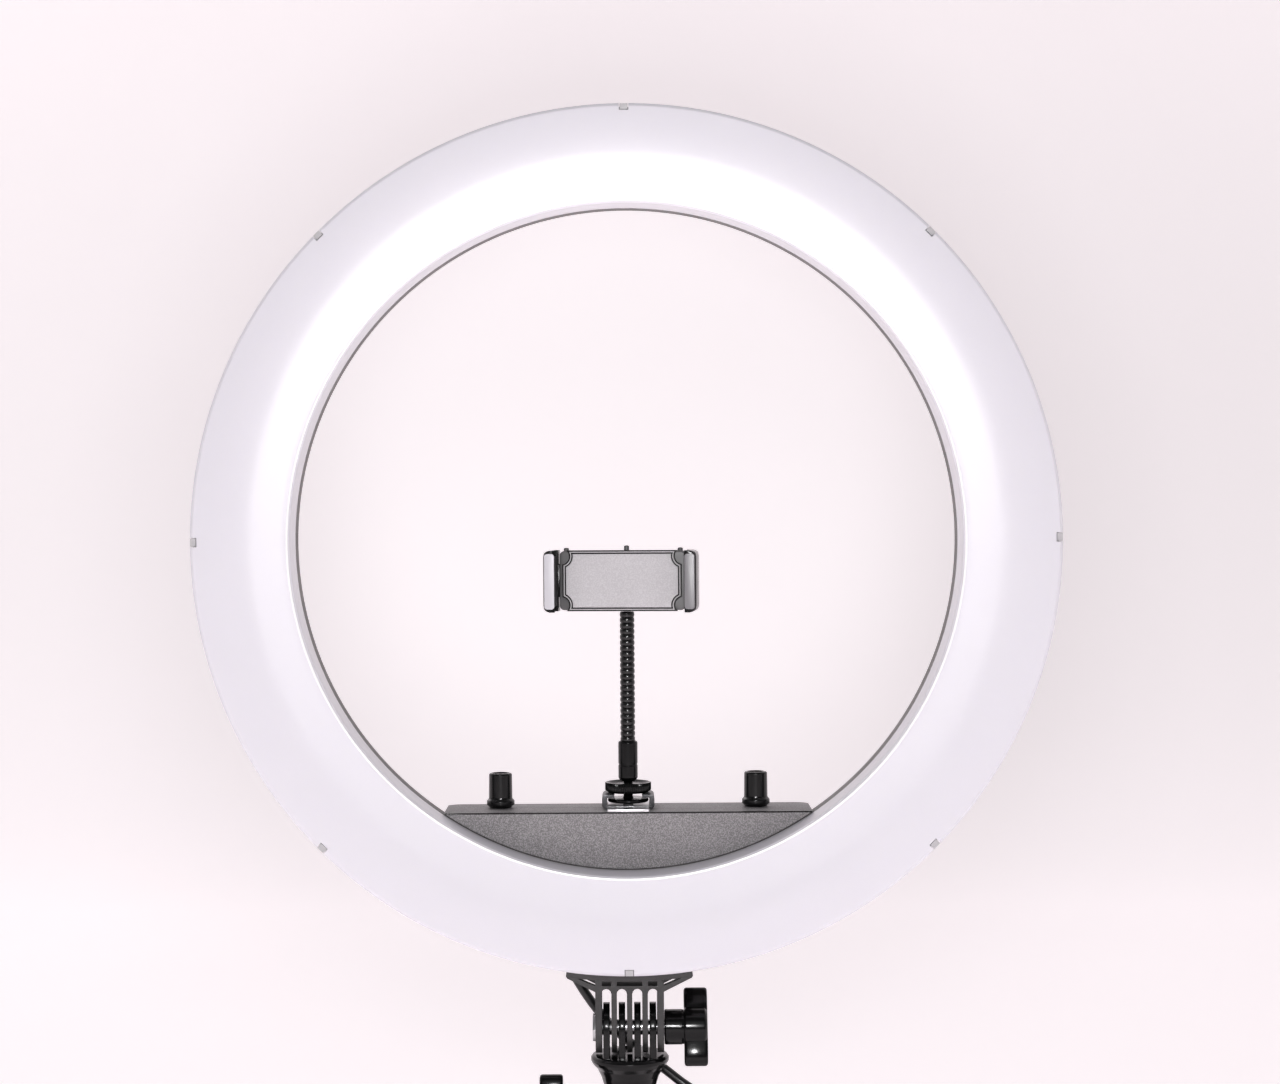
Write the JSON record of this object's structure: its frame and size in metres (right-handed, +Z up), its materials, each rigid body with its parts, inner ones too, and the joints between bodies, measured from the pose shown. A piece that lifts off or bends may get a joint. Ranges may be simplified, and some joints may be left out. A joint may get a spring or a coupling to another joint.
{
  "type": "ring light",
  "caption": "Round photographic ring light with a milky diffuser, an inner control box, a gooseneck phone holder and a tilting stand socket.",
  "frame": {"origin": "centre of the stand socket's mouth, where the light sits on its stand's stud", "axes": "+Z up from the stand through the ring's centre, -Y out of the lit face, +X to the right of someone facing the lit face"},
  "size_m": [0.45, 0.0601, 0.654],
  "materials": {
    "diffuser_acrylic": "translucent milky plastic, satin",
    "shell_plastic": "fine-grained warm grey plastic",
    "panel_plastic": "coarse-grained mid-grey plastic",
    "board_white": "white solder mask on an aluminium board",
    "board_green": "green circuit board",
    "gloss_black": "glossy black plastic",
    "neck_black": "black coated flexible steel",
    "dark_plastic": "satin dark-grey plastic",
    "steel": "plated steel",
    "grey_sheet": "grey plated sheet metal",
    "brass": "turned brass",
    "pad_grey": "light grey grained pad",
    "rubber_black": "soft black rubber",
    "cord_black": "smooth black lead jacket"
  },
  "bodies": {
    "stand": {"stand_socket": "gloss_black", "lock_insert": "brass", "cord_coil": "cord_black", "cord_tail": "cord_black", "plug_relief": "rubber_black", "plug_body": "rubber_black", "plug_pin_1": "steel", "plug_pin_2": "steel", "cord_tie": "rubber_black"},
    "lock_knob": {"lock_knob": "gloss_black", "lock_screw": "steel"},
    "head": {"tilt_bracket": "dark_plastic", "tilt_nut": "steel", "bracket_screw_left": "steel", "bracket_screw_right": "steel", "diffuser": "diffuser_acrylic", "rear_shell": "shell_plastic", "led_board": "board_white", "box_front": "panel_plastic", "box_rear": "shell_plastic", "driver_board": "board_green", "pot_left": "steel", "pot_right": "steel", "box_screw_left": "steel", "box_screw_right": "steel", "mount_screw_left": "steel", "mount_screw_right": "steel", "cold_shoe": "grey_sheet", "shoe_screw_1": "steel", "shoe_screw_2": "steel", "cord_relief": "rubber_black", "cord": "cord_black"},
    "tilt_knob": {"tilt_knob": "gloss_black", "tilt_bolt": "steel"},
    "dial_left": {"dial_left": "gloss_black", "pot_shaft_left": "steel"},
    "dial_right": {"dial_right": "gloss_black", "pot_shaft_right": "steel"},
    "shoe_slider": {"shoe_foot": "gloss_black", "neck_sleeve": "gloss_black", "neck_0": "neck_black"},
    "thumb_nut": {"thumb_nut": "gloss_black"},
    "neck_1": {"neck_1": "neck_black"},
    "neck_2": {"neck_2": "neck_black"},
    "neck_3": {"neck_3": "neck_black"},
    "neck_4": {"neck_4": "neck_black", "neck_ferrule": "gloss_black"},
    "ball_stud": {"ball_stud": "steel"},
    "holder": {"holder_base": "dark_plastic", "ball_nut": "gloss_black", "holder_frame": "dark_plastic", "holder_pad": "pad_grey"},
    "jaw_left": {"jaw_left": "dark_plastic", "jaw_pad_left": "rubber_black"},
    "jaw_right": {"jaw_right": "dark_plastic", "jaw_pad_right": "rubber_black"}
  },
  "joints": [
    {"name": "head_tilt", "type": "hinge", "parent": "stand", "child": "head", "pos_m": [0, 0, 0.065], "axis": [1, 0, 0], "range_deg": [-90, 90], "deforming": ["cord"]},
    {"name": "tilt_knob_turn", "type": "hinge", "parent": "head", "child": "tilt_knob", "pos_m": [0, 0, 0.065], "axis": [1, 0, 0], "continuous": true},
    {"name": "lock_knob_turn", "type": "hinge", "parent": "stand", "child": "lock_knob", "pos_m": [0, 0, 0.02], "axis": [1, 0, 0], "continuous": true},
    {"name": "dial_left_turn", "type": "hinge", "parent": "head", "child": "dial_left", "pos_m": [-0.0677, 0.02, 0.1778], "axis": [0, 0, 1], "range_deg": [-150, 150]},
    {"name": "dial_right_turn", "type": "hinge", "parent": "head", "child": "dial_right", "pos_m": [0.0677, 0.02, 0.1778], "axis": [0, 0, 1], "range_deg": [-150, 150]},
    {"name": "shoe_slide", "type": "slide", "parent": "head", "child": "shoe_slider", "axis": [0, -1, 0], "range_m": [0, 0.03]},
    {"name": "thumb_nut_turn", "type": "hinge", "parent": "shoe_slider", "child": "thumb_nut", "pos_m": [0, 0.02, 0.188], "axis": [0, 0, 1], "continuous": true},
    {"name": "neck_bend_x1", "type": "hinge", "parent": "shoe_slider", "child": "neck_1", "pos_m": [0, 0.02, 0.222], "axis": [1, 0, 0], "range_deg": [-30, 30]},
    {"name": "neck_bend_y1", "type": "hinge", "parent": "neck_1", "child": "neck_2", "pos_m": [0, 0.02, 0.237], "axis": [0, 1, 0], "range_deg": [-30, 30]},
    {"name": "neck_bend_x2", "type": "hinge", "parent": "neck_2", "child": "neck_3", "pos_m": [0, 0.02, 0.252], "axis": [1, 0, 0], "range_deg": [-30, 30]},
    {"name": "neck_bend_y2", "type": "hinge", "parent": "neck_3", "child": "neck_4", "pos_m": [0, 0.02, 0.267], "axis": [0, 1, 0], "range_deg": [-30, 30]},
    {"name": "holder_pan", "type": "hinge", "parent": "neck_4", "child": "ball_stud", "pos_m": [0, 0.02, 0.296], "axis": [0, 0, 1], "continuous": true},
    {"name": "holder_tilt", "type": "hinge", "parent": "ball_stud", "child": "holder", "pos_m": [0, 0.02, 0.296], "axis": [0.9945, -0.1045, 0], "range_deg": [-20, 20]},
    {"name": "jaw_left_slide", "type": "slide", "parent": "holder", "child": "jaw_left", "axis": [-0.9945, 0.1045, 0], "range_m": [0, 0.012], "stiffness_N_per_m": 300, "springref_m": -0.01},
    {"name": "jaw_right_slide", "type": "slide", "parent": "holder", "child": "jaw_right", "axis": [0.9945, -0.1045, 0], "range_m": [0, 0.012], "stiffness_N_per_m": 300, "springref_m": -0.01}
  ],
  "couplings": [
    {"joint": "neck_bend_x2", "follows": "neck_bend_x1", "ratio": 1},
    {"joint": "neck_bend_y2", "follows": "neck_bend_y1", "ratio": 1}
  ]
}
